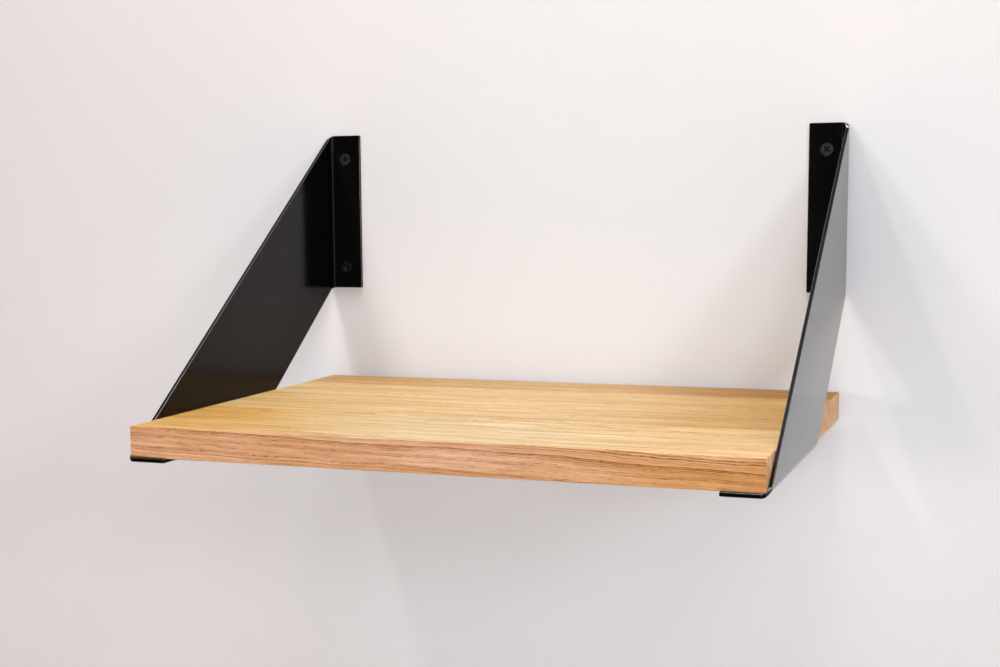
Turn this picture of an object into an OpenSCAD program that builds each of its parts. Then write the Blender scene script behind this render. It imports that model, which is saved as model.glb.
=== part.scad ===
// Bracket wall shelf. An oak board, glued up from three staves, rests on the ledges of two
// folded sheet-steel brackets. The brackets are screwed to the wall through plugs.
//
// Millimetres, +Z up. The wall is the plane y = 0 and the shelf stands out towards -Y.
// The origin is the middle of the four wall fixings.

/* [Board] */
// Length of the board, from plate to plate
board_len = 400; // [240:10:900]
// Depth of the board, back edge to front edge
board_depth = 300; // [240:5:400]
// Thickness of the board
board_t = 20; // [18:1:30]
// Gap between the wall and the board's back edge
wall_gap = 6; // [4:1:20]
// Width of the stave at the back
back_stave_w = 50; // [30:5:80]
// Width of the stave at the front
front_stave_w = 100; // [60:5:120]
// Easing of the board's outer edges
edge_ease = 0.6; // [0.2:0.1:2]
// Clearance at each end of the board
end_gap = 0.2; // [0.1:0.1:1]

/* [Bracket] */
// Thickness of the sheet steel
sheet_t = 2.5; // [2:0.5:4]
// Inside radius of both folds
fold_r = 3; // [2:0.5:6]
// Height of the wall flange
flange_h = 120; // [110:5:180]
// Width of the wall flange, over the side plate
flange_w = 28; // [26:1:40]
// Height of the wall flange's lower end above the board
flange_rise = 70.5; // [40:0.5:120]
// Width of the ledge under the board, over the side plate
ledge_w = 28; // [26:1:40]
// How far the brackets stand out in front of the board
front_lip = 2; // [0:0.5:6]
// Radius of the free corners of flange and ledge
corner_r = 1; // [0.5:0.5:5]

/* [Wall fixings] */
// Height of the lower wall screw above the flange's lower end
wall_hole_low = 16.5; // [10:0.5:25]
// Height of the flange's upper end above the upper wall screw
wall_hole_high = 18.5; // [10:0.5:25]
// Distance of the wall screws from the flange's free edge
wall_hole_inset = 12.5; // [8:0.5:14]
// Diameter of the clearance holes in the flange
wall_hole_d = 5.5; // [5.1:0.1:6.5]

/* [Wall screws] */
// Thread diameter
wall_screw_d = 4.5; // [4:0.5:5]
// Core diameter
wall_screw_core_d = 3; // [2.4:0.2:3.4]
// Head diameter
wall_screw_head_d = 8.8; // [8:0.2:9.6]
// Overall length
wall_screw_len = 50; // [40:5:70]
// Length of the thread
wall_thread_len = 32; // [20:1:34]
// Pitch of the thread
wall_thread_pitch = 2.2; // [1.6:0.2:2.6]
// Turn of the cross recesses: left upper, left lower, right upper, right lower
wall_recess_turns = [12, 40, 45, 20]; // [0:1:90]

/* [Wall plugs] */
// Outside diameter, which is the hole to drill in the wall
plug_d = 8; // [7:1:12]
// Length of the plug
plug_len = 40; // [30:1:60]
// Length of the plain neck
plug_neck = 9; // [5:1:12]
// Depth of the grip rings
plug_grip = 0.5; // [0.2:0.1:0.8]
// Spacing of the grip rings
plug_grip_pitch = 4; // [3:0.5:6]
// Length of the tapered tip
plug_tip = 5; // [3:1:8]
// Width of the slot that lets the plug spread
plug_slot_w = 0.8; // [0.5:0.1:1.5]
// Clearance of the screw in the plug
plug_clear = 0.05; // [0.05:0.05:0.2]

/* [Board screws] */
// Thread diameter
board_screw_d = 4; // [3.5:0.5:4.5]
// Core diameter
board_screw_core_d = 2.6; // [2.2:0.2:3]
// Head diameter
board_screw_head_d = 7.8; // [7:0.2:8.4]
// Overall length
board_screw_len = 16; // [14:1:18]
// Length of the thread
board_thread_len = 8; // [6:1:9]
// Pitch of the thread
board_thread_pitch = 1.8; // [1.4:0.2:2]
// Clearance of the screw in its pilot hole
pilot_clear = 0.05; // [0.05:0.05:0.2]
// Distance of the board screws from the ledge's ends
ledge_hole_end = 25; // [12:1:50]
// Distance of the board screws from the ledge's free edge
ledge_hole_inset = 12.5; // [8:0.5:14]
// Diameter of the clearance holes in the ledge
ledge_hole_d = 4.8; // [4.6:0.1:5.5]
// Turn of the cross recesses: left front, left rear, right front, right rear
board_recess_turns = [30, 5, 70, 50]; // [0:1:90]

/* [Screw heads] */
// Depth of a head's face below the sheet's surface
head_sink = 0.2; // [0:0.1:0.4]
// Height of a head's cylindrical rim
head_rim = 0.25; // [0.1:0.05:0.4]
// Clearance of a head in its countersink
seat_gap = 0.05; // [0.05:0.05:0.2]
// Width across the cross recess
recess_d = 5; // [3.6:0.2:5.4]
// Width of the recess's wings
recess_wing = 1.2; // [0.8:0.1:1.4]
// Depth of the recess
recess_depth = 2; // [1.4:0.2:2.2]

/* [Hidden] */

$fn = 48;
eps = 0.01;
black_coat = "#1d1b1b";
black_zinc = "#2b2a2c";
oak_light = "#e3b876";
oak_mid = "#dcab69";
oak_dark = "#cf9a5c";
nylon = "#9a9c9e";

// Fold. Each bend has a short lead into the flat sheet on either side, whose ends slope steeply
// back so that they stay inside the sheet.
fold_outer_r = fold_r + sheet_t;
fold_lead = 2;
lead_slope = 4;
ramp_steps = 12;

// Thread ridge's width at its root, in ridge heights, and screw point's length, in core diameters
ridge_share = 0.7;
point_share = 1.3;

// Heights of the bracket, from the fixings' middle
fixing_h = (flange_h - wall_hole_low - wall_hole_high) / 2;
flange_bottom = -fixing_h - wall_hole_low;
flange_top = flange_bottom + flange_h;
board_top = flange_bottom - flange_rise;
board_bottom = board_top - board_t;
ledge_bottom = board_bottom - sheet_t;
fold_top = ledge_bottom + fold_outer_r;

// Widths, from the middle of the shelf
plate_in = board_len / 2 + end_gap;
plate_out = plate_in + sheet_t;
fold_start = plate_in - fold_r;
wall_hole_x = plate_out - flange_w + wall_hole_inset;
ledge_hole_x = plate_out - ledge_w + ledge_hole_inset;

// Depths, from the wall. Both sloping edges of the plate share one slope.
board_front = -wall_gap - board_depth;
reach = wall_gap + board_depth + front_lip;
run = reach / (flange_top - ledge_bottom);
function front_edge(z) = -(flange_top - z) * run;
function rear_edge(z) = -sheet_t - (flange_bottom - z) * run;
ledge_front = -reach;
ledge_rear = rear_edge(ledge_bottom);
ledge_len = ledge_rear - ledge_front;
hole_front = ledge_front + ledge_hole_end;
hole_rear = ledge_rear - ledge_hole_end;

// Staves, from the back
back_joint = -wall_gap - back_stave_w;
front_joint = board_front + front_stave_w;

// Space past the sloping end of a fold. It rises around the bend from the height ends[0] to ends[1]
// so that the bend's outside stays in line with the plate's edge, and falls away over both leads.
module past_ramp(ends) {
    inner = fold_r / 2;
    outer = fold_outer_r + sheet_t;
    far = max(ends) + sheet_t;
    away = 2 * fold_lead;
    stations = concat(
        [[0, [0, -away], ends[0] - away * lead_slope]],
        [
            for (i = [0 : ramp_steps])
                let (a = 90 * i / ramp_steps)
                [a, [0, 0], ends[0] + (ends[1] - ends[0]) * sin(a)]
        ],
        [[90, [-away, 0], ends[1] - away * lead_slope]]
    );
    points = [
        for (s = stations)
            for (p = [[inner, s[2]], [outer, s[2]], [outer, far], [inner, far]])
                [p[0] * cos(s[0]) + s[1][0], p[0] * sin(s[0]) + s[1][1], p[1]]
    ];
    last = len(stations) - 1;
    sides = [
        for (i = [0 : last - 1])
            for (k = [0 : 3])
                let (a = 4 * i + k, b = 4 * i + (k + 1) % 4)
                for (tri = [[a, b, a + 4], [b, b + 4, a + 4]])
                    tri
    ];
    end = 4 * last;
    caps = [[2, 1, 0], [3, 2, 0], [end, end + 1, end + 2], [end, end + 2, end + 3]];
    polyhedron(points = points, faces = concat(sides, caps));
}

// Quarter bend of the sheet in plan, with its two leads
module bend_outline() {
    intersection() {
        difference() {
            circle(fold_outer_r);
            circle(fold_r);
        }
        square(fold_outer_r);
    }
    translate([fold_r, -fold_lead])
        square([sheet_t, fold_lead]);
    translate([-fold_lead, fold_r])
        square([fold_lead, sheet_t]);
}

// Bend about the Z axis, from the plate along -Y to the tab along -X. Each end's two heights are
// those at the plate and at the tab, so the plate's sloping cut runs on around the bend.
module fold(low, high) {
    difference() {
        translate([0, 0, min(low)])
            linear_extrude(max(high) - min(low))
                bend_outline();
        past_ramp(high);
        mirror([0, 0, 1])
            past_ramp(-low);
    }
}

// Flat tab of width w and length l, with its two free corners rounded
module tab(w, l) {
    linear_extrude(sheet_t)
        union() {
            square([w - corner_r, l]);
            translate([0, corner_r])
                square([w, l - 2 * corner_r]);
            for (y = [corner_r, l - corner_r])
                translate([w - corner_r, y])
                    circle(corner_r);
        }
}

// Room for a countersunk head whose outer face looks along +Z. The sheet's surface is z = 0.
module head_room(head_d) {
    surface_r = head_d / 2 + head_sink + head_rim + seat_gap;
    translate([0, 0, -surface_r])
        cylinder(r1 = 0, r2 = surface_r, h = surface_r);
    cylinder(r = surface_r, h = sheet_t);
}

module countersunk_hole(head_d, hole_d) {
    head_room(head_d);
    translate([0, 0, -sheet_t - eps])
        cylinder(d = hole_d, h = sheet_t + 2 * eps);
}

module wall_flange() {
    difference() {
        translate([fold_start, 0, flange_bottom])
            rotate([90, 0, 0])
                mirror([1, 0, 0])
                    tab(fold_start - plate_out + flange_w, flange_h);
        for (z = [-fixing_h, fixing_h])
            translate([wall_hole_x, -sheet_t, z])
                rotate([90, 0, 0])
                    countersunk_hole(wall_screw_head_d, wall_hole_d);
    }
}

module wall_fold() {
    translate([fold_start, -fold_outer_r, 0])
        fold(
            [flange_bottom - fold_r / run, flange_bottom],
            [flange_top - fold_outer_r / run, flange_top]
        );
}

module side_plate() {
    translate([plate_in, 0, 0])
        rotate([90, 0, 90])
            linear_extrude(sheet_t)
                polygon([
                    [-fold_outer_r, flange_top - fold_outer_r / run],
                    [front_edge(fold_top), fold_top],
                    [rear_edge(fold_top), fold_top],
                    [-fold_outer_r, flange_bottom - fold_r / run]
                ]);
}

module ledge_fold() {
    translate([fold_start, 0, fold_top])
        rotate([-90, 0, 0])
            fold([front_edge(fold_top), ledge_front], [rear_edge(fold_top), ledge_rear]);
}

module ledge() {
    difference() {
        translate([fold_start, ledge_front, ledge_bottom])
            mirror([1, 0, 0])
                tab(fold_start - plate_out + ledge_w, ledge_len);
        for (y = [hole_front, hole_rear])
            translate([ledge_hole_x, y, ledge_bottom])
                rotate([180, 0, 0])
                    countersunk_hole(board_screw_head_d, ledge_hole_d);
    }
}

// The whole bracket is one cut and folded sheet
module bracket() {
    color(black_coat) {
        wall_flange();
        wall_fold();
        side_plate();
        ledge_fold();
        ledge();
    }
}

// Outline of a rectangle from low to high with small chamfers
module eased_rectangle(low, high) {
    polygon([
        [low[0] + edge_ease, low[1]],
        [high[0] - edge_ease, low[1]],
        [high[0], low[1] + edge_ease],
        [high[0], high[1] - edge_ease],
        [high[0] - edge_ease, high[1]],
        [low[0] + edge_ease, high[1]],
        [low[0], high[1] - edge_ease],
        [low[0], low[1] + edge_ease]
    ]);
}

// The board before its staves are told apart, eased on all outer edges
module board_blank() {
    half = board_len / 2;
    intersection() {
        translate([-half, 0, 0])
            rotate([90, 0, 90])
                linear_extrude(board_len)
                    eased_rectangle([board_front, board_bottom], [-wall_gap, board_top]);
        translate([0, -wall_gap, 0])
            rotate([90, 0, 0])
                linear_extrude(board_depth)
                    eased_rectangle([-half, board_bottom], [half, board_top]);
    }
}

module pilot_holes() {
    depth = board_screw_len - sheet_t + head_sink + pilot_clear;
    for (side = [-1, 1], y = [hole_front, hole_rear])
        translate([side * ledge_hole_x, y, board_bottom - eps])
            cylinder(d = board_screw_d + 2 * pilot_clear, h = depth + eps);
}

module stave(from, to) {
    difference() {
        intersection() {
            board_blank();
            translate([-board_len / 2, from, board_bottom])
                cube([board_len, to - from, board_t]);
        }
        pilot_holes();
    }
}

// Cross recess, deepest in the middle, cut into a face at z = 0
module cross_recess(turn) {
    wing_slope = recess_depth / (recess_d - recess_wing) * 2;
    intersection() {
        translate([0, 0, -recess_depth])
            cylinder(d1 = recess_wing, d2 = recess_d + 2 * eps / wing_slope, h = recess_depth + eps);
        rotate(turn)
            for (a = [0, 90])
                rotate(a)
                    translate([-recess_d, -recess_wing / 2, -recess_depth])
                        cube([2 * recess_d, recess_wing, recess_depth + 1]);
    }
}

// Countersunk wood screw, its face at z = 0 and its point down. The thread is a row of ridges.
module wood_screw(d, core_d, head_d, length, thread_len, pitch, turn) {
    core_r = core_d / 2;
    crest = (d - core_d) / 2;
    ridge = crest * ridge_share;
    ridges = floor(thread_len / pitch);
    tip = core_d * point_share;
    thread_top = -length + tip + ridges * pitch;
    difference() {
        rotate_extrude()
            polygon(concat(
                [[0, -length], [0, 0], [head_d / 2, 0], [head_d / 2, -head_rim]],
                [[core_r, -head_rim - head_d / 2 + core_r]],
                [
                    for (i = [0 : ridges - 1])
                        let (z = thread_top - i * pitch)
                        for (p = [[core_r, z], [core_r + crest, z - ridge / 2], [core_r, z - ridge]])
                            p
                ],
                [[core_r, -length + tip]]
            ));
        cross_recess(turn);
    }
}

module wall_screw(side, level, turn) {
    color(black_zinc)
        translate([side * wall_hole_x, head_sink - sheet_t, level * fixing_h])
            rotate([90, 0, 0])
                wood_screw(
                    wall_screw_d, wall_screw_core_d, wall_screw_head_d, wall_screw_len,
                    wall_thread_len, wall_thread_pitch, turn
                );
}

module board_screw(side, y, turn) {
    color(black_zinc)
        translate([side * ledge_hole_x, y, ledge_bottom + head_sink])
            rotate([180, 0, 0])
                wood_screw(
                    board_screw_d, board_screw_core_d, board_screw_head_d, board_screw_len,
                    board_thread_len, board_thread_pitch, turn
                );
}

// Expansion plug with its mouth at z = 0, going up: plain neck, grip rings, tapered split tip
module plug_body() {
    r = plug_d / 2;
    root = r - plug_grip;
    rings = floor((plug_len - plug_neck - plug_tip) / plug_grip_pitch);
    difference() {
        rotate_extrude()
            polygon(concat(
                [[0, 0], [r, 0], [r, plug_neck]],
                [
                    for (i = [0 : rings - 1])
                        let (z = plug_neck + i * plug_grip_pitch)
                        for (p = [[root, z], [r, z + plug_grip_pitch]])
                            p
                ],
                [[root, plug_neck + rings * plug_grip_pitch]],
                [[root, plug_len - plug_tip], [root - plug_grip, plug_len], [0, plug_len]]
            ));
        translate([0, 0, -eps])
            cylinder(d = wall_screw_d + 2 * plug_clear, h = plug_len + 2 * eps);
        translate([-plug_d, -plug_slot_w / 2, plug_neck])
            cube([2 * plug_d, plug_slot_w, plug_len]);
    }
}

module wall_plug(side, level) {
    color(nylon)
        difference() {
            translate([side * wall_hole_x, 0, level * fixing_h])
                rotate([-90, 0, 0])
                    plug_body();
            translate([side * wall_hole_x, -sheet_t, level * fixing_h])
                rotate([90, 0, 0])
                    head_room(wall_screw_head_d);
        }
}

module left_bracket() {
    mirror([1, 0, 0])
        bracket();
}

module right_bracket() {
    bracket();
}

module front_stave() {
    color(oak_light)
        stave(board_front, front_joint);
}

module middle_stave() {
    color(oak_mid)
        stave(front_joint, back_joint);
}

module back_stave() {
    color(oak_dark)
        stave(back_joint, -wall_gap);
}

left_bracket();
right_bracket();
front_stave();
middle_stave();
back_stave();
wall_screw(-1, 1, wall_recess_turns[0]);  // wall_screw_left_upper
wall_screw(-1, -1, wall_recess_turns[1]);  // wall_screw_left_lower
wall_screw(1, 1, wall_recess_turns[2]);  // wall_screw_right_upper
wall_screw(1, -1, wall_recess_turns[3]);  // wall_screw_right_lower
wall_plug(-1, 1);  // wall_plug_left_upper
wall_plug(-1, -1);  // wall_plug_left_lower
wall_plug(1, 1);  // wall_plug_right_upper
wall_plug(1, -1);  // wall_plug_right_lower
board_screw(-1, hole_front, board_recess_turns[0]);  // board_screw_left_front
board_screw(-1, hole_rear, board_recess_turns[1]);  // board_screw_left_rear
board_screw(1, hole_front, board_recess_turns[2]);  // board_screw_right_front
board_screw(1, hole_rear, board_recess_turns[3]);  // board_screw_right_rear
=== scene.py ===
"""Bracket wall shelf: an oak board of three staves on two folded black steel brackets."""

import math

import bpy
from mathutils import Matrix, Vector


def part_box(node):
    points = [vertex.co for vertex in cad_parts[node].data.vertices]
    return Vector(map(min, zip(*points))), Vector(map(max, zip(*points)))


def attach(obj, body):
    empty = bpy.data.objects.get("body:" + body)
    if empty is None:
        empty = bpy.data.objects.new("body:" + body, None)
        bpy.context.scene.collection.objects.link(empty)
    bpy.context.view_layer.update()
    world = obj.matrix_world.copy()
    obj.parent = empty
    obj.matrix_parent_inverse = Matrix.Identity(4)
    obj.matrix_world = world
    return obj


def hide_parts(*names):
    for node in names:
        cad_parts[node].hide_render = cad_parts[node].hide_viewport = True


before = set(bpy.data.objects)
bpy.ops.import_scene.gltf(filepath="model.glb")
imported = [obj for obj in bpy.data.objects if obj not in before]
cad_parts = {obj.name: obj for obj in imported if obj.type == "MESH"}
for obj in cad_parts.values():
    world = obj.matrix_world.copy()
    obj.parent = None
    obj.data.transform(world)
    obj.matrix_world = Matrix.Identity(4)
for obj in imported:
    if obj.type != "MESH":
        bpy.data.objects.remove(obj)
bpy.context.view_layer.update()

bl_info = {
    "name": "Bracket Wall Shelf",
    "version": (1, 0, 0),
    "blender": (4, 5, 0),
    "location": "3D View > Sidebar > Wall Shelf",
    "description": "Dresses a bracket wall shelf in oiled oak and black powder coat",
    "category": "Object",
}

MM = 0.001
MM_IN_METRE = 1000.0
Y, Z = 1, 2
SIDES = ("left", "right")
WALL_SCREW_LEVELS = ("upper", "lower")
BOARD_SCREW_PLACES = ("front", "rear")
WHITE = (1.0, 1.0, 1.0)


# Settings


def tone(name, description, default):
    """A colour setting."""
    return bpy.props.FloatVectorProperty(
        name=name, description=description, default=default, subtype="COLOR", size=3, min=0, max=1,
    )


def share(name, description, default):
    """A setting between 0 and 1."""
    return bpy.props.FloatProperty(
        name=name, description=description, default=default, subtype="FACTOR", min=0, max=1,
    )


def rounding(name, description, default):
    """A setting for the radius of an edge."""
    return bpy.props.FloatProperty(
        name=name, description=description, default=default, unit="LENGTH", min=0.05 * MM, max=1 * MM,
    )


def turn(name, description, degrees):
    """A setting for an angle."""
    return bpy.props.FloatProperty(
        name=name, description=description, default=math.radians(degrees), subtype="ANGLE",
    )


class ShelfCoat(bpy.types.PropertyGroup):
    """Powder coat of the brackets"""

    colour: tone("Coat", "Colour of the powder coat", (0.0014, 0.001, 0.001))
    arris: tone("Arris", "Colour of the thin coat on the arrises", (0.15, 0.145, 0.145))
    roughness: share("Coat Roughness", "Roughness between the grains of the coat", 0.14)
    edge_round: rounding("Edge Rounding", "Radius that the coat leaves on the cut edges", 0.3 * MM)


class ShelfOak(bpy.types.PropertyGroup):
    """Oiled oak of the three staves"""

    # Besides the oak's own tone, these tones hold painted light and shade: the staves' ends are mostly darker
    # with painted shade of the brackets, the right ends of the middle and back staves darkest in the right
    # bracket's painted shadow; the middles are paler with a painted sheen; and the end grain is pale with
    # painted light.
    front_left: tone("Front Stave, Left", "Plain wood at its left end", (0.67, 0.41, 0.13))
    front_middle: tone("Front Stave, Middle", "Plain wood in its middle", (0.705, 0.56, 0.345))
    front_right: tone("Front Stave, Right", "Plain wood at its right end", (0.71, 0.50, 0.25))
    middle_left: tone("Middle Stave, Left", "Plain wood at its left end", (0.74, 0.53, 0.26))
    middle_middle: tone("Middle Stave, Middle", "Plain wood in its middle", (0.715, 0.51, 0.265))
    middle_right: tone("Middle Stave, Right", "Plain wood at its right end", (0.585, 0.355, 0.11))
    back_left: tone("Back Stave, Left", "Plain wood at its left end", (0.56, 0.335, 0.11))
    back_middle: tone("Back Stave, Middle", "Plain wood in its middle", (0.60, 0.38, 0.165))
    back_right: tone("Back Stave, Right", "Plain wood at its right end", (0.385, 0.18, 0.012))
    side_left: tone("Sawn Edge, Left", "Plain wood at the left of both long edges", (0.735, 0.405, 0.225))
    side_middle: tone("Sawn Edge, Middle", "Plain wood in the middle of both long edges", (0.735, 0.43, 0.25))
    side_right: tone("Sawn Edge, Right", "Plain wood at the right of both long edges", (0.70, 0.37, 0.15))
    end: tone("End Grain", "Plain wood at the board's ends", (0.93, 0.57, 0.31))
    line: tone("Grain Line", "Colour that a growth ring's porous wood multiplies by", (0.80, 0.63, 0.40))
    side_line: tone("Edge Grain Line", "The same colour on the board's long edges", (0.48, 0.32, 0.22))
    roughness: share("Oil Roughness", "Roughness of the oiled surface", 0.52)
    edge_round: rounding("Edge Rounding", "Radius on both sides of the eased edges", 0.25 * MM)


class ShelfFixings(bpy.types.PropertyGroup):
    """Screws and wall plugs"""

    screw: tone("Screw", "Colour of the blackened screws", (0.013, 0.0125, 0.013))
    screw_roughness: share("Screw Roughness", "Roughness of the screw heads", 0.42)
    plug: tone("Plug", "Colour of the nylon wall plugs", (0.32, 0.33, 0.34))


class ShelfStage(bpy.types.PropertyGroup):
    """Wall, floor, lamps and camera"""

    # The wall's paint behind the shelf is brighter and bluer than at its sides: painted light that lifts the
    # wall there and cancels the board's orange bounce.
    wall: tone("Wall", "Colour of the wall's paint behind the shelf", (0.845, 0.88, 0.935))
    wall_sides: tone("Wall Sides", "Colour of the paint away from the shelf", (0.842, 0.808, 0.805))
    backdrop: tone("Backdrop", "Colour of the far wall and floor and beyond", (0.82, 0.80, 0.80))
    sky: tone("Room Light", "Colour of the light from all round", (0.065, 0.065, 0.065))
    camera_place: bpy.props.FloatVectorProperty(
        name="Camera Place", description="Where the camera stands",
        default=(0.3424, -1.1458, 0.0112), subtype="TRANSLATION", unit="LENGTH",
    )
    camera_yaw: turn("Camera Yaw", "Turn of the camera to its left, from square to the wall", 21.676)
    camera_pitch: turn("Camera Pitch", "Tilt of the camera above the horizon", -7.469)
    camera_roll: turn("Camera Roll", "Turn of the camera about its own line of sight", -0.65)
    lens: bpy.props.FloatProperty(
        name="Lens", description="Focal length on a 36 mm frame, in millimetres",
        default=56.387, min=20, max=200,
    )
    shift: bpy.props.FloatVectorProperty(
        name="Lens Shift", description="Shift that the cropped photograph needs",
        size=2, default=(0.064, 0.070),
    )


# Shader nodes


def opaque(colour, brightness=1.0):
    """A colour with full alpha, made brighter or darker."""
    return (*(part * brightness for part in colour), 1.0)


class Nodes:
    """Adds nodes to a shader tree. Most methods return the new node's output."""

    def __init__(self, tree):
        self.tree = tree

    def feed(self, node, sockets):
        """Sets or links a node's input sockets by name or number."""
        for key, value in sockets.items():
            if isinstance(value, bpy.types.NodeSocket):
                self.tree.links.new(value, node.inputs[key])
            else:
                node.inputs[key].default_value = value

    def add(self, kind, sockets=None, **settings):
        """Adds a node, sets its options and feeds its inputs. Returns the node."""
        node = self.tree.nodes.new(kind)
        for name, value in settings.items():
            setattr(node, name, value)
        self.feed(node, sockets or {})
        return node

    def maths(self, operation, *values):
        return self.add("ShaderNodeMath", dict(enumerate(values)), operation=operation).outputs[0]

    def plus(self, first, second):
        return self.maths("ADD", first, second)

    def minus(self, first, second):
        return self.maths("SUBTRACT", first, second)

    def times(self, first, second):
        return self.maths("MULTIPLY", first, second)

    def vector(self, operation, *values):
        """Works on vectors."""
        node = self.add("ShaderNodeVectorMath", dict(enumerate(values)), operation=operation)
        return node.outputs["Vector"]

    def scaled(self, vector, amount):
        """Makes a vector longer or shorter."""
        node = self.add("ShaderNodeVectorMath", {0: vector, "Scale": amount}, operation="SCALE")
        return node.outputs["Vector"]

    def length(self, vector):
        return self.add("ShaderNodeVectorMath", {0: vector}, operation="LENGTH").outputs["Value"]

    def parts(self, vector):
        """The X, Y and Z of a vector."""
        return self.add("ShaderNodeSeparateXYZ", {0: vector}).outputs

    def rise(self, value, start, end, least=0.0, most=1.0):
        """Climbs smoothly from least to most while a value goes from start to end."""
        return self.add(
            "ShaderNodeMapRange",
            {"Value": value, "From Min": start, "From Max": end, "To Min": least, "To Max": most},
            interpolation_type="SMOOTHSTEP",
        ).outputs["Result"]

    def fall(self, value, start, end):
        """Drops smoothly from 1 to 0 while a value goes from start to end."""
        return self.rise(value, start, end, least=1.0, most=0.0)

    def mix(self, share_of_second, first, second, blend="MIX"):
        """Mixes two colours. In a Mix node they are inputs 6 and 7, and the result is output 2."""
        sockets = {0: share_of_second, 6: first, 7: second}
        return self.add("ShaderNodeMix", sockets, data_type="RGBA", blend_type=blend).outputs[2]

    def mix_shaders(self, share_of_second, first, second):
        return self.add("ShaderNodeMixShader", {0: share_of_second, 1: first, 2: second}).outputs[0]

    def noise(self, place, stretch, detail=2.0, roughness=0.5):
        """Noise whose features are as long as stretch says, along each axis. Returns its outputs."""
        spread = self.vector("DIVIDE", place, stretch)
        sockets = {"Vector": spread, "Scale": 1.0, "Detail": detail, "Roughness": roughness}
        return self.add("ShaderNodeTexNoise", sockets).outputs

    def bump(self, height, depth, strength):
        """The normal of a bumpy surface."""
        sockets = {"Height": height, "Distance": depth, "Strength": strength}
        return self.add("ShaderNodeBump", sockets).outputs["Normal"]

    def shared(self, name, sockets):
        """Outputs of a shared node group, which is made where it is needed first."""
        group = bpy.data.node_groups.get(name) or SHARED_GROUPS[name](name)
        return self.add("ShaderNodeGroup", sockets, node_tree=group).outputs


def start_group(name, inputs):
    """Makes a shader node group. Returns the maker of its nodes and the values that it is given."""
    group = bpy.data.node_groups.new(name, "ShaderNodeTree")
    for label, default in inputs.items():
        kind = "NodeSocketFloat" if isinstance(default, float) else "NodeSocketVector"
        group.interface.new_socket(name=label, in_out="INPUT", socket_type=kind).default_value = default
    nodes = Nodes(group)
    return nodes, nodes.add("NodeGroupInput").outputs


def end_group(nodes, outputs):
    """Gives a node group its outputs, which are all plain values, and returns the group."""
    for label in outputs:
        nodes.tree.interface.new_socket(name=label, in_out="OUTPUT", socket_type="NodeSocketFloat")
    nodes.add("NodeGroupOutput", outputs)
    return nodes.tree


# Lengths of the oak's marks along X, Y and Z, in millimetres
DASH = (11, 0.8, 0.8)
PORE = (5, 0.4, 0.4)
RAY = (2.6, 0.35, 0.8)
FIBRE = (26, 0.9, 0.9)
STREAK = (75, 5, 5)
CLOUD = (130, 16, 16)
# Long, middling and short waves of the rings: their lengths and how far they reach
RING_WAVES = (((160, 50, 50), 6.0), ((45, 14, 14), 2.6), ((13, 4, 4), 0.9))
# Millimetres of radius over which lean and fat years follow each other, and their effect in rings
SPELL = 11.0
SPELL_EFFECT = 2.2
DUST_SPECKS_PER_MM = 0.11


def oak_growth_group(name):
    """Growth rings, pores, rays and fibre of a stave whose trunk ran roughly along X."""
    nodes, given = start_group(name, {
        "Place": (0, 0, 0), "Heart": (0, 0, 0), "Lean": (0, 0, 0), "Key": (0, 0, 0), "Ring Width": 4.0,
        "Wander": 2.0,
    })
    plus, minus, times = nodes.plus, nodes.minus, nodes.times
    place = nodes.scaled(given["Place"], MM_IN_METRE)
    keyed = nodes.vector("ADD", place, given["Key"])
    offset = nodes.vector("SUBTRACT", place, given["Heart"])
    offset = nodes.vector("SUBTRACT", offset, nodes.scaled(given["Lean"], nodes.parts(place)["X"]))

    # The rings wander along the trunk in waves, and are unevenly wide
    for stretch, reach in RING_WAVES:
        swing = nodes.vector("SUBTRACT", nodes.noise(keyed, stretch, detail=1.0)["Color"], (0.5, 0.5, 0.5))
        offset = nodes.vector("ADD", offset, nodes.scaled(swing, times(given["Wander"], reach)))
    flow = nodes.vector("ADD", offset, given["Key"])
    radius = nodes.length(nodes.vector("MULTIPLY", offset, (0, 1, 1)))
    even_rings = nodes.maths("DIVIDE", radius, given["Ring Width"])
    spell_place = nodes.maths("DIVIDE", radius, SPELL)
    spells = nodes.add(
        "ShaderNodeTexNoise", {"W": spell_place, "Detail": 1.0}, noise_dimensions="1D",
    ).outputs["Fac"]
    rings = plus(even_rings, times(minus(spells, 0.5), SPELL_EFFECT))

    # One ring: porous early wood that starts sharply and fades into plain late wood
    phase = nodes.maths("FRACT", rings)
    year = nodes.add(
        "ShaderNodeTexWhiteNoise", {"W": nodes.maths("FLOOR", rings)}, noise_dimensions="1D",
    ).outputs["Value"]
    onset = nodes.rise(phase, 0.0, 0.1)
    core = times(onset, nodes.fall(phase, 0.16, 0.5))
    tail = times(onset, nodes.fall(phase, 0.2, 0.95))
    dashes = nodes.noise(flow, DASH, detail=3.0, roughness=0.7)["Fac"]
    dashed_core = times(core, nodes.rise(dashes, 0.38, 0.6, least=0.25))
    line = times(plus(dashed_core, times(tail, 0.3)), nodes.rise(year, 0, 1, least=0.35))

    # Open pores in the early wood, rays across it, fibre and broad tones along it
    fine = nodes.noise(flow, PORE, roughness=0.6)["Fac"]
    porous = plus(plus(times(core, 0.8), times(tail, 0.35)), 0.12)
    pores = times(nodes.rise(fine, 0.55, 0.66), porous)
    rays = nodes.noise(keyed, RAY, roughness=0.6)["Fac"]
    fibre = nodes.noise(flow, FIBRE, detail=3.0, roughness=0.7)["Fac"]
    return end_group(nodes, {
        "Line": line,
        "Pores": pores,
        "Flecks": nodes.rise(rays, 0.54, 0.7),
        "Fibre": fibre,
        "Streak": nodes.noise(flow, STREAK, roughness=0.6)["Fac"],
        "Cloud": nodes.noise(keyed, CLOUD)["Fac"],
        "Height": minus(times(fibre, 0.4), plus(pores, times(line, 0.3))),
    })


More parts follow.
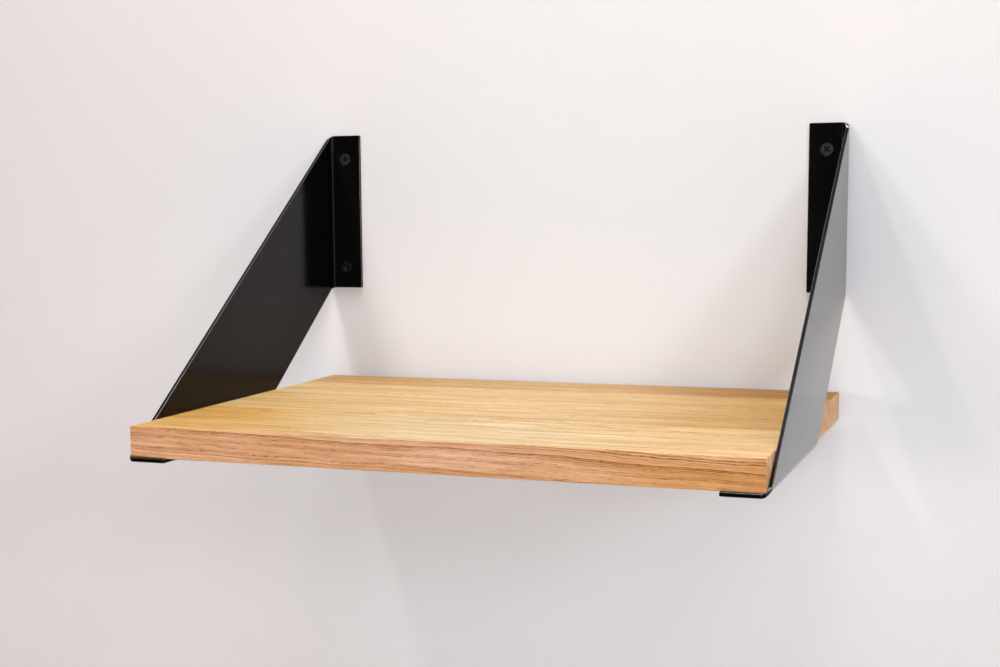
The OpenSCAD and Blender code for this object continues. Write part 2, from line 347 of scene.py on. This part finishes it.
def unevenness_group(name):
    """Fine unevenness of a coat: orange peel, faint patches and specks of dust."""
    nodes, given = start_group(name, {"Place": (0, 0, 0), "Peel Size": 0.6, "Patch Size": 30.0})
    place = nodes.scaled(given["Place"], MM_IN_METRE)
    specks = nodes.add("ShaderNodeTexVoronoi", {"Vector": place, "Scale": DUST_SPECKS_PER_MM})
    return end_group(nodes, {
        "Peel": nodes.noise(place, given["Peel Size"])["Fac"],
        "Patches": nodes.noise(place, given["Patch Size"], detail=4.0, roughness=0.6)["Fac"],
        "Dust": nodes.fall(specks.outputs["Distance"], 0.02, 0.035),
    })


SHARED_GROUPS = {"oak_growth": oak_growth_group, "unevenness": unevenness_group}


# Materials


def start_material(name):
    """Makes a material. Returns it, the maker of its nodes, its shader and its object coordinates."""
    material = bpy.data.materials.new(name)
    material.use_nodes = True
    nodes = Nodes(material.node_tree)
    shader = material.node_tree.nodes["Principled BSDF"]
    return material, nodes, shader, nodes.add("ShaderNodeTexCoord").outputs["Object"]


# Each stave's heart, ring width and key to the noise in millimetres, the heart's lean along the
# trunk, how far the rings wander and how deeply their lines show
STAVES = {
    "front": {
        "heart": (0, -190, 95), "lean": (0, -0.01, -0.02), "key": (0, 0, 0),
        "ring_width": 4.4, "wander": 1.0, "line_depth": 1.0,
    },
    "middle": {
        "heart": (0, 60, 20), "lean": (0, -0.02, -0.03), "key": (310, 70, 20),
        "ring_width": 3.8, "wander": 1.0, "line_depth": 0.7,
    },
    "back": {
        "heart": (0, 90, -300), "lean": (0, 0.02, -0.03), "key": (730, 150, 90),
        "ring_width": 3.6, "wander": 1.2, "line_depth": 0.8,
    },
}

# Where the board's tones blend on the left and on the right, in parts of half its length
LEFT_BLEND = (-0.9, -0.1)
RIGHT_BLEND = (0.15, 0.85)


def left_to_right(nodes, along, left, middle, right):
    """Mixes three colours along the board: tones for the left end, the middle and the right end, which hold
    painted shade at the ends and a painted sheen in the middle besides the wood's tone.
    """
    half_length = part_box("front_stave")[1][0]
    left_mask, right_mask = (
        nodes.rise(along, start * half_length, end * half_length)
        for start, end in (LEFT_BLEND, RIGHT_BLEND)
    )
    return nodes.mix(right_mask, nodes.mix(left_mask, opaque(left), opaque(middle)), opaque(right))


def oak_material(stave, heart, lean, key, ring_width, wander, line_depth):
    """Oiled oak with a stave's own growth rings. Long edges and ends have their own tones."""
    oak = bpy.context.scene.shelf_oak
    material, nodes, shader, place = start_material(f"oak_{stave}")
    growth = nodes.shared("oak_growth", {
        "Place": place, "Heart": heart, "Lean": lean, "Key": key, "Ring Width": ring_width, "Wander": wander,
    })
    facing = nodes.parts(nodes.add("ShaderNodeTexCoord").outputs["Normal"])
    at_side = nodes.rise(nodes.maths("ABSOLUTE", facing["Y"]), 0.5, 0.9)
    at_end = nodes.rise(nodes.maths("ABSOLUTE", facing["X"]), 0.5, 0.9)

    # Wood tones that carry painted shade at the ends, a painted sheen in the middle and painted light on the
    # end grain, multiplied by the tones of clouds, streaks, fibre and rays, then of rings and pores
    along = nodes.parts(place)["X"]
    stave_tones_with_painted_light = [getattr(oak, f"{stave}_{part}") for part in ("left", "middle", "right")]
    flat = left_to_right(nodes, along, *stave_tones_with_painted_light)
    side = left_to_right(nodes, along, oak.side_left, oak.side_middle, oak.side_right)
    wood = nodes.mix(at_end, nodes.mix(at_side, flat, side), opaque(oak.end))
    for mask, where_low, where_high in (
        (nodes.rise(growth["Cloud"], 0.32, 0.68), (1.12, 1.20, 1.36), (1.03, 1.00, 0.90)),
        (nodes.rise(growth["Streak"], 0.34, 0.66), WHITE, (0.87, 0.77, 0.60)),
        (nodes.rise(growth["Fibre"], 0.32, 0.68), WHITE, (0.84, 0.76, 0.66)),
        (growth["Flecks"], WHITE, (1.05, 1.07, 1.12)),
    ):
        wood = nodes.mix(1.0, wood, nodes.mix(mask, opaque(where_low), opaque(where_high)), "MULTIPLY")
    line_tone = nodes.mix(at_side, opaque(oak.line), opaque(oak.side_line))
    wood = nodes.mix(nodes.times(growth["Line"], line_depth), wood, line_tone, "MULTIPLY")
    wood = nodes.mix(growth["Pores"], wood, opaque((0.50, 0.38, 0.28)), "MULTIPLY")
    rough = nodes.plus(nodes.times(growth["Pores"], 0.25), oak.roughness)
    nodes.feed(shader, {
        "Base Color": wood,
        "Roughness": nodes.minus(rough, nodes.times(growth["Cloud"], 0.08)),
        "Normal": nodes.bump(growth["Height"], depth=0.12 * MM, strength=0.7),
        "IOR": 1.33,
    })
    return material


def coat_material():
    """Satin black powder coat on steel."""
    coat = bpy.context.scene.shelf_coat
    material, nodes, shader, place = start_material("black_powder_coat")
    uneven = nodes.shared("unevenness", {"Place": place, "Peel Size": 0.55, "Patch Size": 35.0})
    patches = nodes.rise(uneven["Patches"], 0.35, 0.7)
    black = nodes.mix(patches, opaque(coat.colour), opaque(coat.colour, 1.25))
    dusty = nodes.mix(nodes.times(uneven["Dust"], 0.25), black, opaque((0.25, 0.24, 0.23)))
    # The coat is stretched thin on the arrises, where the steel shines through
    arris = nodes.add("ShaderNodeAttribute", attribute_name="arris").outputs["Fac"]
    patch_effect = 0.02
    rough = nodes.plus(coat.roughness - patch_effect / 2, nodes.times(patches, patch_effect))
    rough = nodes.plus(rough, nodes.times(arris, 0.12))
    # At a flat angle the coat mirrors the room far more than face on
    facing = nodes.add("ShaderNodeLayerWeight").outputs["Facing"]
    nodes.feed(shader, {
        "Base Color": nodes.mix(arris, dusty, opaque(coat.arris)),
        "Metallic": arris,
        "Roughness": nodes.plus(rough, nodes.times(uneven["Dust"], 0.2)),
        "Normal": nodes.bump(uneven["Peel"], depth=0.012 * MM, strength=0.5),
        "IOR": 1.19,
        "Coat Weight": nodes.rise(facing, 0.62, 0.9, most=0.4),
        "Coat Roughness": coat.roughness,
        "Coat IOR": 1.5,
    })
    return material


def screw_material():
    """Blackened screw steel with faint lighter patches."""
    fixings = bpy.context.scene.shelf_fixings
    material, nodes, shader, place = start_material("black_zinc")
    uneven = nodes.shared("unevenness", {"Place": place, "Peel Size": 0.25, "Patch Size": 1.6})
    patches = nodes.rise(uneven["Patches"], 0.4, 0.68)
    nodes.feed(shader, {
        "Base Color": nodes.mix(patches, opaque(fixings.screw), opaque(fixings.screw, 1.9)),
        "Metallic": 0.8,
        "Roughness": nodes.plus(fixings.screw_roughness, nodes.times(patches, -0.1)),
        "Normal": nodes.bump(uneven["Peel"], depth=0.015 * MM, strength=0.7),
    })
    return material


def nylon_material():
    """Matt grey moulded nylon."""
    fixings = bpy.context.scene.shelf_fixings
    material, nodes, shader, place = start_material("grey_nylon")
    uneven = nodes.shared("unevenness", {"Place": place, "Peel Size": 0.4, "Patch Size": 5.0})
    patches = nodes.rise(uneven["Patches"], 0.3, 0.7)
    nodes.feed(shader, {
        "Base Color": nodes.mix(patches, opaque(fixings.plug, 0.92), opaque(fixings.plug, 1.08)),
        "Roughness": nodes.plus(0.48, nodes.times(patches, 0.12)),
        "Normal": nodes.bump(uneven["Peel"], depth=0.03 * MM, strength=0.5),
    })
    return material


def wall_material(stage):
    """Painted wall, seen only from the room's side. Near the shelf the paint is brighter and bluer than away
    from it, where it is a little warmer: painted light that lifts the wall there and cancels the board's
    orange bounce.

    Far from the shelf the camera sees the plain backdrop, and the light still meets the paint.
    """
    material, nodes, shader, place = start_material("painted_wall")
    behind_shelf = (0, 0, -0.15)
    # Distances in metres from behind the shelf: the painted light on the paint fades into the plain side
    # paint between the first two, and the backdrop takes over between the next two
    painted_light_fade_from, painted_light_fade_to = 0.05, 0.45
    backdrop_from, backdrop_to = 0.68, 1.1
    marks_per_metre = 420.0
    away = nodes.length(nodes.vector("SUBTRACT", place, behind_shelf))
    # Painted light: the paint is brighter and bluer near the shelf and fades to the plain side paint further
    # away.
    painted_light_fade = nodes.rise(away, painted_light_fade_from, painted_light_fade_to)
    roller_marks = nodes.add(
        "ShaderNodeTexNoise", {"Vector": place, "Scale": marks_per_metre, "Detail": 3.0},
    )
    nodes.feed(shader, {
        "Base Color": nodes.mix(painted_light_fade, opaque(stage.wall), opaque(stage.wall_sides)),
        "Roughness": 0.9,
        "Specular IOR Level": 0.2,
        "Normal": nodes.bump(roller_marks.outputs["Fac"], depth=0.25 * MM, strength=0.25),
    })
    is_seen = nodes.add("ShaderNodeLightPath").outputs["Is Camera Ray"]
    seen_afar = nodes.times(nodes.rise(away, backdrop_from, backdrop_to), is_seen)
    plain = nodes.add("ShaderNodeEmission", {"Color": opaque(stage.backdrop)}).outputs[0]
    front = nodes.mix_shaders(seen_afar, shader.outputs[0], plain)
    from_behind = nodes.add("ShaderNodeNewGeometry").outputs["Backfacing"]
    clear = nodes.add("ShaderNodeBsdfTransparent").outputs[0]
    surface = nodes.mix_shaders(from_behind, front, clear)
    nodes.feed(material.node_tree.nodes["Material Output"], {"Surface": surface})
    return material


# Modelling


def choose(piece):
    """Makes a piece the only selected and active object."""
    if bpy.context.mode != "OBJECT":
        bpy.ops.object.mode_set(mode="OBJECT")
    bpy.ops.object.select_all(action="DESELECT")
    piece.select_set(True)
    bpy.context.view_layer.objects.active = piece


def merged_copy(node_name, name, closeness=0.002 * MM):
    """A new object with the merged mesh of a solid: flat faces are whole again."""
    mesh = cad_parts[node_name].data.copy()
    piece = bpy.data.objects.new(name, mesh)
    bpy.context.scene.collection.objects.link(piece)
    mesh.materials.clear()
    choose(piece)
    bpy.ops.mesh.customdata_custom_splitnormals_clear()
    bpy.ops.object.mode_set(mode="EDIT")
    bpy.ops.mesh.select_all(action="SELECT")
    bpy.ops.mesh.remove_doubles(threshold=closeness)
    bpy.ops.mesh.dissolve_limited(angle_limit=math.radians(0.4))
    bpy.ops.object.mode_set(mode="OBJECT")
    return piece


def apply_modifier(piece, name, kind, **settings):
    """Adds a modifier, sets it and applies it."""
    choose(piece)
    modifier = piece.modifiers.new(name, kind)
    for key, value in settings.items():
        setattr(modifier, key, value)
    bpy.ops.object.modifier_apply(modifier=modifier.name)


def shade(piece, smooth_below):
    """Shades a piece smooth across its blunt edges and keeps its large faces flat."""
    choose(piece)
    bpy.ops.object.shade_smooth_by_angle(angle=math.radians(smooth_below))
    apply_modifier(piece, "flat faces", "WEIGHTED_NORMAL", keep_sharp=True, weight=80)


def soften(piece, width, segments=3, angle=30, limit_overlap=True):
    """Rounds the edges that are sharper than an angle and marks the new faces as arrises."""
    # The bevel puts its faces in the second of two empty material slots
    for _ in range(2):
        piece.data.materials.append(None)
    apply_modifier(
        piece, "rounded edges", "BEVEL",
        width=width, segments=segments, limit_method="ANGLE", angle_limit=math.radians(angle),
        use_clamp_overlap=limit_overlap, miter_outer="MITER_ARC", material=1,
    )
    arris = piece.data.attributes.new("arris", "FLOAT", "FACE")
    for face in piece.data.polygons:
        arris.data[face.index].value = face.material_index
        face.material_index = 0
    shade(piece, smooth_below=35)


def keep_inside(piece, node_name):
    """Moves the few points that rounding pushed a hair out of the solid's box back to its sides."""
    low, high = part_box(node_name)
    for vertex in piece.data.vertices:
        vertex.co = [min(max(value, low[axis]), high[axis]) for axis, value in enumerate(vertex.co)]


def finish_piece(piece, node_name, material):
    """Gives a piece its finish and lets it stand for its solid."""
    piece.data.materials.clear()
    piece.data.materials.append(material)
    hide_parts(node_name)
    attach(piece, "root")


def dress_fixings(kind, ends, way_made, material, width, angle):
    """Dresses like screws or plugs, one on each side for each end of the name."""
    for side in SIDES:
        for end in ends:
            node_name = f"{kind}_{side}_{end}"
            piece = merged_copy(node_name, f"{node_name}_{way_made}")
            soften(piece, width, segments=2, angle=angle)
            finish_piece(piece, node_name, material)


def head_place(node_name, axis):
    """Middle of a screw's head, which is at the low end of the screw's box along an axis."""
    low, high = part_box(node_name)
    place = Vector([(near + far) / 2 for near, far in zip(low, high)])
    place[axis] = low[axis]
    return place


class SHELF_OT_brackets(bpy.types.Operator):
    """Folded steel brackets with coated, slightly rounded edges"""

    bl_idname = "shelf.brackets"
    bl_label = "Brackets"

    def execute(self, context):
        material = coat_material()
        for side in SIDES:
            node_name = f"{side}_bracket"
            piece = merged_copy(node_name, f"{side}_coated_bracket", closeness=0.1 * MM)
            soften(piece, context.scene.shelf_coat.edge_round, limit_overlap=False)
            keep_inside(piece, node_name)
            self.coat_countersinks(piece, side)
            finish_piece(piece, node_name, material)
        return {"FINISHED"}

    def coat_countersinks(self, piece, side):
        """The countersinks' rims are coated as thickly as the faces."""
        heads = [head_place(f"wall_screw_{side}_{level}", Y) for level in WALL_SCREW_LEVELS]
        heads += [head_place(f"board_screw_{side}_{place}", Z) for place in BOARD_SCREW_PLACES]
        rim_reach = 7 * MM
        arris = piece.data.attributes["arris"].data
        for face in piece.data.polygons:
            if min((face.center - head).length for head in heads) < rim_reach:
                arris[face.index].value = 0


class SHELF_OT_board(bpy.types.Operator):
    """Board of three glued oak staves with eased outer edges"""

    bl_idname = "shelf.board"
    bl_label = "Board"

    def execute(self, context):
        for stave, growth in STAVES.items():
            node_name = f"{stave}_stave"
            material = oak_material(stave, **growth)
            piece = merged_copy(node_name, f"oiled_{node_name}")
            self.ease_edges(piece, node_name, context.scene.shelf_oak.edge_round)
            finish_piece(piece, node_name, material)
        return {"FINISHED"}

    def ease_edges(self, piece, node_name, width):
        """Rounds the board's own edges and leaves the glued faces square."""
        low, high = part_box(node_name)
        board_sides = (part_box("front_stave")[0][Y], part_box("back_stave")[1][Y])
        glued = [y for y in (low[Y], high[Y]) if min(abs(y - side) for side in board_sides) > MM]
        choose(piece)
        bpy.ops.object.mode_set(mode="EDIT")
        bpy.ops.mesh.select_all(action="DESELECT")
        bpy.ops.mesh.select_mode(type="EDGE")
        bpy.ops.mesh.edges_select_sharp(sharpness=math.radians(30))
        bpy.ops.object.mode_set(mode="OBJECT")
        for edge in piece.data.edges:
            ends = [piece.data.vertices[index].co for index in edge.vertices]
            if any(all(abs(end.y - joint) < 0.01 * MM for end in ends) for joint in glued):
                edge.select = False
        bpy.ops.object.mode_set(mode="EDIT")
        bpy.ops.mesh.bevel(offset=width, segments=2, affect="EDGES")
        bpy.ops.object.mode_set(mode="OBJECT")
        shade(piece, smooth_below=50)


class SHELF_OT_wall_screws(bpy.types.Operator):
    """Four wood screws that hold the flanges to the wall"""

    bl_idname = "shelf.wall_screws"
    bl_label = "Wall Screws"

    def execute(self, context):
        dress_fixings(
            "wall_screw", WALL_SCREW_LEVELS, "turned", screw_material(), 0.12 * MM, angle=40,
        )
        return {"FINISHED"}


class SHELF_OT_board_screws(bpy.types.Operator):
    """Four short screws through the ledges into the board"""

    bl_idname = "shelf.board_screws"
    bl_label = "Board Screws"

    def execute(self, context):
        dress_fixings(
            "board_screw", BOARD_SCREW_PLACES, "turned", screw_material(), 0.1 * MM, angle=40,
        )
        return {"FINISHED"}


class SHELF_OT_wall_plugs(bpy.types.Operator):
    """Four nylon plugs in the wall"""

    bl_idname = "shelf.wall_plugs"
    bl_label = "Wall Plugs"

    def execute(self, context):
        dress_fixings(
            "wall_plug", WALL_SCREW_LEVELS, "moulded", nylon_material(), 0.1 * MM, angle=25,
        )
        return {"FINISHED"}


# Stage

ROOM_HALF_WIDTH = 3.0
WALL_TOP = 2.0
FLOOR_HEIGHT = -1.3
FLOOR_DEPTH = 4.0
COVE_RADIUS = 0.3
WALL_GAP = 0.2 * MM

# Square lamps that face the shelf: name, place, width, colour and power in watts
LAMPS_FACE = Vector((0, -0.15, -0.05))
LAMPS = (
    ("spot_high_left", (-0.733, -1.305, 1.369), 0.12, (1.0, 0.95, 0.91), 4.4),
    ("spot_left", (-0.538, -1.605, -0.023), 0.14, (1.0, 0.93, 0.88), 2.6),
    ("window_left", (-0.414, -1.695, -0.05), 0.5, (1.0, 0.93, 0.88), 3.0),
    ("window_right", (0.414, -1.695, -0.05), 0.5, (0.95, 0.97, 1.0), 3.4),
    ("panel_right", (0.635, -1.513, 0.497), 0.5, (0.95, 0.97, 1.0), 3.3),
    ("spot_right", (1.045, -1.311, 0.298), 0.25, (0.94, 0.97, 1.0), 4.3),
    ("spot_high_right", (0.859, -1.104, 0.904), 0.25, (0.96, 0.98, 1.0), 1.2),
    ("ceiling_far", (0.213, -0.329, 1.526), 0.5, (1.0, 0.99, 0.98), 15.3),
    ("ceiling_near", (0.071, -0.346, 1.132), 0.5, (1.0, 0.99, 0.98), 4.2),
)


class SHELF_OT_stage(bpy.types.Operator):
    """Pale wall and floor, soft lamps and the camera"""

    bl_idname = "shelf.stage"
    bl_label = "Stage"

    def execute(self, context):
        stage = context.scene.shelf_stage
        self.build_room(stage)
        self.light_room(context.scene, stage)
        self.place_camera(context.scene, stage)
        context.scene.view_settings.view_transform = "Standard"
        return {"FINISHED"}

    def build_room(self, stage):
        """One bent sheet: the wall just behind the flanges, a round cove and the floor."""
        bpy.ops.mesh.primitive_plane_add(size=1, rotation=(math.radians(90), 0, 0))
        room = bpy.context.object
        room.name = "room"
        choose(room)
        bpy.ops.object.transform_apply(location=True, rotation=True, scale=True)
        wall_foot = FLOOR_HEIGHT + COVE_RADIUS
        for vertex in room.data.vertices:
            across = math.copysign(ROOM_HALF_WIDTH, vertex.co.x)
            vertex.co = (across, WALL_GAP, WALL_TOP if vertex.co.z > 0 else wall_foot)
        bpy.ops.object.mode_set(mode="EDIT")
        bpy.ops.mesh.select_all(action="DESELECT")
        bpy.ops.mesh.select_mode(type="EDGE")
        bpy.ops.object.mode_set(mode="OBJECT")
        for edge in room.data.edges:
            heights = [room.data.vertices[index].co.z for index in edge.vertices]
            edge.select = all(abs(height - wall_foot) < MM for height in heights)
        bpy.ops.object.mode_set(mode="EDIT")
        cove_middle = (0, -COVE_RADIUS, wall_foot)
        bpy.ops.mesh.spin(steps=12, angle=math.radians(90), center=cove_middle, axis=(-1, 0, 0))
        bpy.ops.mesh.extrude_region_move(TRANSFORM_OT_translate={"value": (0, -FLOOR_DEPTH, 0)})
        bpy.ops.mesh.select_all(action="SELECT")
        bpy.ops.mesh.remove_doubles(threshold=0.01 * MM)
        bpy.ops.mesh.normals_make_consistent(inside=False)
        bpy.ops.object.mode_set(mode="OBJECT")
        wall = max(room.data.polygons, key=lambda face: face.center.z)
        if wall.normal.y > 0:
            room.data.flip_normals()
        bpy.ops.object.shade_smooth_by_angle(angle=math.radians(30))
        room.data.materials.append(wall_material(stage))

    def light_room(self, scene, stage):
        """Soft lamps on the left, on the right and above, and a faint even light.

        Where the room ends, the camera alone sees the pale backdrop.
        """
        world = bpy.data.worlds.new("room_light")
        scene.world = world
        world.use_nodes = True
        world.cycles.sampling_method = "NONE"
        nodes = Nodes(world.node_tree)
        is_seen = nodes.add("ShaderNodeLightPath").outputs["Is Camera Ray"]
        colour = nodes.mix(is_seen, opaque(stage.sky), opaque(stage.backdrop))
        nodes.feed(world.node_tree.nodes["Background"], {"Color": colour})
        for name, place, width, colour, power in LAMPS:
            bpy.ops.object.light_add(type="AREA", location=place)
            lamp = bpy.context.object
            lamp.name = name
            lamp.rotation_euler = (LAMPS_FACE - Vector(place)).to_track_quat("-Z", "Y").to_euler()
            lamp.data.shape = "SQUARE"
            lamp.data.size = width
            lamp.data.color = colour
            lamp.data.energy = power

    def place_camera(self, scene, stage):
        """The camera stands where the photograph was taken."""
        bpy.ops.object.camera_add()
        camera = bpy.context.object
        aim = (
            Matrix.Rotation(stage.camera_yaw, 4, "Z")
            @ Matrix.Rotation(math.radians(90) + stage.camera_pitch, 4, "X")
            @ Matrix.Rotation(stage.camera_roll, 4, "Z")
        )
        camera.location = stage.camera_place
        camera.rotation_euler = aim.to_euler()
        camera.data.sensor_width = 36.0
        camera.data.lens = stage.lens
        camera.data.shift_x, camera.data.shift_y = stage.shift
        scene.camera = camera


class SHELF_PT_panel(bpy.types.Panel):
    """The shelf's settings and steps"""

    bl_idname = "SHELF_PT_panel"
    bl_label = "Wall Shelf"
    bl_space_type = "VIEW_3D"
    bl_region_type = "UI"
    bl_category = "Wall Shelf"

    def draw(self, context):
        for group_name in SETTINGS:
            box = self.layout.box()
            group = getattr(context.scene, group_name)
            for name in group.__annotations__:
                box.prop(group, name)
        for step in STEPS:
            self.layout.operator(step.bl_idname)


SETTINGS = {
    "shelf_coat": ShelfCoat,
    "shelf_oak": ShelfOak,
    "shelf_fixings": ShelfFixings,
    "shelf_stage": ShelfStage,
}
STEPS = (
    SHELF_OT_brackets,
    SHELF_OT_board,
    SHELF_OT_wall_screws,
    SHELF_OT_board_screws,
    SHELF_OT_wall_plugs,
    SHELF_OT_stage,
)


def register():
    for name, settings in SETTINGS.items():
        bpy.utils.register_class(settings)
        setattr(bpy.types.Scene, name, bpy.props.PointerProperty(type=settings))
    for step in STEPS:
        bpy.utils.register_class(step)
    bpy.utils.register_class(SHELF_PT_panel)


def unregister():
    bpy.utils.unregister_class(SHELF_PT_panel)
    for step in reversed(STEPS):
        bpy.utils.unregister_class(step)
    for name, settings in reversed(SETTINGS.items()):
        delattr(bpy.types.Scene, name)
        bpy.utils.unregister_class(settings)


def main():
    register()
    bpy.ops.shelf.brackets()
    bpy.ops.shelf.board()
    bpy.ops.shelf.wall_screws()
    bpy.ops.shelf.board_screws()
    bpy.ops.shelf.wall_plugs()
    bpy.ops.shelf.stage()


if __name__ == "__main__":
    main()
